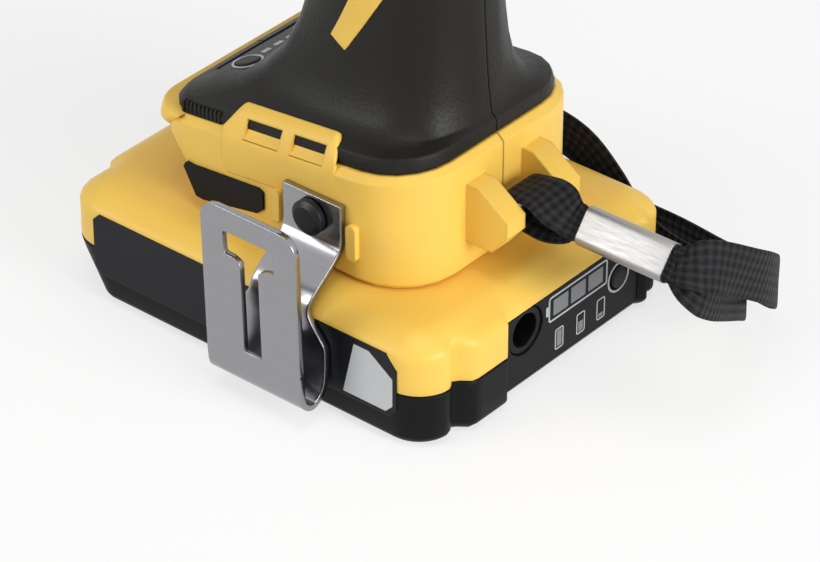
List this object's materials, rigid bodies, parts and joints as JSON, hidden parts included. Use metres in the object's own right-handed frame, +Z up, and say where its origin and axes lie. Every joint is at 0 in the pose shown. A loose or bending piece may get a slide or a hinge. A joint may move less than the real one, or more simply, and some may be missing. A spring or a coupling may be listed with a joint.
{
  "type": "cordless impact wrench",
  "caption": "Cordless impact wrench with rubber grip, slide-on battery, belt hook and wrist strap; trigger-driven geared motor turns a square drive.",
  "frame": {"origin": "on the flat base of the battery pack, on its rear rubber pad, on the split plane, near the foot of the handle", "axes": "+Z up from the base to the head, nose towards -X, the tool's left side towards -Y"},
  "size_m": [0.2018, 0.104, 0.223],
  "materials": {
    "yellow_abs": "satin moulded",
    "black_rubber": "matt moulded",
    "black_plastic": "fine texture",
    "panel_film": "printed film",
    "nickel_steel": "bright nickel",
    "dark_steel": "blackened",
    "bright_steel": "ground",
    "cast_aluminium": "cast",
    "copper": "rolled",
    "board_green": "solder mask",
    "cell_wrap": "shrink film",
    "clear_lens": "clear",
    "webbing": "woven tape"
  },
  "bodies": {
    "tool": {"housing_left": "yellow_abs", "housing_right": "yellow_abs", "grip_left": "black_rubber", "grip_right": "black_rubber", "housing_screw_1": "dark_steel", "housing_screw_2": "dark_steel", "housing_screw_3": "dark_steel", "control_panel": "panel_film", "terminal_block": "black_plastic", "terminal_blade_left": "copper", "terminal_blade_right": "copper", "control_board": "board_green", "stator": "dark_steel", "front_bearing": "bright_steel", "rear_bearing": "bright_steel", "bearing_plate": "cast_aluminium", "ring_gear": "bright_steel", "nose_bushing": "copper", "hammer_case": "cast_aluminium", "nose_bumper": "black_rubber", "rear_cap": "black_plastic", "switch_body": "black_plastic", "work_light_lens": "clear_lens", "belt_hook": "nickel_steel", "belt_hook_screw": "dark_steel", "strap_pin": "bright_steel", "wrist_strap": "webbing", "strap_ferrule": "nickel_steel"},
    "trigger": {"trigger": "black_plastic"},
    "direction": {"direction_button": "black_plastic"},
    "rotor": {"rotor_core": "bright_steel", "motor_shaft": "bright_steel", "motor_fan": "black_plastic"},
    "spindle": {"spindle": "bright_steel", "spring_washer": "bright_steel", "hammer_spring": "bright_steel"},
    "planet_1": {"planet_gear_1": "bright_steel"},
    "planet_2": {"planet_gear_2": "bright_steel"},
    "planet_3": {"planet_gear_3": "bright_steel"},
    "hammer": {"hammer": "dark_steel"},
    "anvil": {"anvil": "dark_steel"},
    "battery": {"battery_cover": "yellow_abs", "battery_tray": "black_plastic", "battery_cell_1": "cell_wrap", "battery_cell_2": "cell_wrap", "battery_cell_3": "cell_wrap", "battery_cell_4": "cell_wrap", "battery_board": "board_green", "charge_jack": "black_plastic", "gauge_panel": "black_plastic", "side_panel_left": "black_plastic", "side_panel_right": "black_plastic", "pack_screw_left": "dark_steel", "pack_screw_right": "dark_steel", "base_pad_front": "black_rubber", "base_pad_rear": "black_rubber"},
    "latch": {"release_button": "black_plastic"},
    "mode_key": {"mode_button": "black_rubber"},
    "light_key": {"light_button": "black_rubber"},
    "gauge_key": {"gauge_button": "black_rubber"}
  },
  "joints": [
    {"name": "trigger_pull", "type": "slide", "parent": "tool", "child": "trigger", "axis": [1, 0, 0], "range_m": [0, 0.0065], "stiffness_N_per_m": 400, "springref_m": -0.0065},
    {"name": "direction_push", "type": "slide", "parent": "tool", "child": "direction", "axis": [0, 1, 0], "range_m": [-0.0025, 0.0025]},
    {"name": "spindle_spin", "type": "hinge", "parent": "tool", "child": "spindle", "pos_m": [0, 0, 0.186], "axis": [1, 0, 0], "continuous": true},
    {"name": "rotor_spin", "type": "hinge", "parent": "tool", "child": "rotor", "pos_m": [0, 0, 0.186], "axis": [1, 0, 0], "continuous": true},
    {"name": "planet_1_spin", "type": "hinge", "parent": "spindle", "child": "planet_1", "pos_m": [0, 0.0135, 0.186], "axis": [1, 0, 0], "continuous": true},
    {"name": "planet_2_spin", "type": "hinge", "parent": "spindle", "child": "planet_2", "pos_m": [0, -0.00675, 0.19769], "axis": [1, 0, 0], "continuous": true},
    {"name": "planet_3_spin", "type": "hinge", "parent": "spindle", "child": "planet_3", "pos_m": [0, -0.00675, 0.17431], "axis": [1, 0, 0], "continuous": true},
    {"name": "hammer_slide", "type": "slide", "parent": "spindle", "child": "hammer", "axis": [1, 0, 0], "range_m": [0, 0.007], "stiffness_N_per_m": 4000, "springref_m": -0.004, "deforming": ["hammer_spring"]},
    {"name": "anvil_spin", "type": "hinge", "parent": "tool", "child": "anvil", "pos_m": [0, 0, 0.186], "axis": [1, 0, 0], "continuous": true},
    {"name": "battery_slide", "type": "slide", "parent": "tool", "child": "battery", "axis": [-1, 0, 0], "range_m": [0, 0.075]},
    {"name": "latch_press", "type": "slide", "parent": "battery", "child": "latch", "axis": [0, 0, -1], "range_m": [0, 0.0036], "stiffness_N_per_m": 600, "springref_m": -0.0036},
    {"name": "mode_press", "type": "slide", "parent": "tool", "child": "mode_key", "axis": [0.2756, 0, -0.9613], "range_m": [0, 0.0006], "stiffness_N_per_m": 800, "springref_m": -0.0006},
    {"name": "light_press", "type": "slide", "parent": "tool", "child": "light_key", "axis": [0.2756, 0, -0.9613], "range_m": [0, 0.0006], "stiffness_N_per_m": 800, "springref_m": -0.0006},
    {"name": "gauge_press", "type": "slide", "parent": "battery", "child": "gauge_key", "axis": [-1, 0, 0], "range_m": [0, 0.0006], "stiffness_N_per_m": 800, "springref_m": -0.0006}
  ],
  "couplings": [
    {"joint": "rotor_spin", "follows": "spindle_spin", "ratio": 6},
    {"joint": "planet_1_spin", "follows": "spindle_spin", "ratio": -2.5},
    {"joint": "planet_2_spin", "follows": "spindle_spin", "ratio": -2.5},
    {"joint": "planet_3_spin", "follows": "spindle_spin", "ratio": -2.5},
    {"joint": "anvil_spin", "follows": "spindle_spin", "ratio": 1}
  ]
}
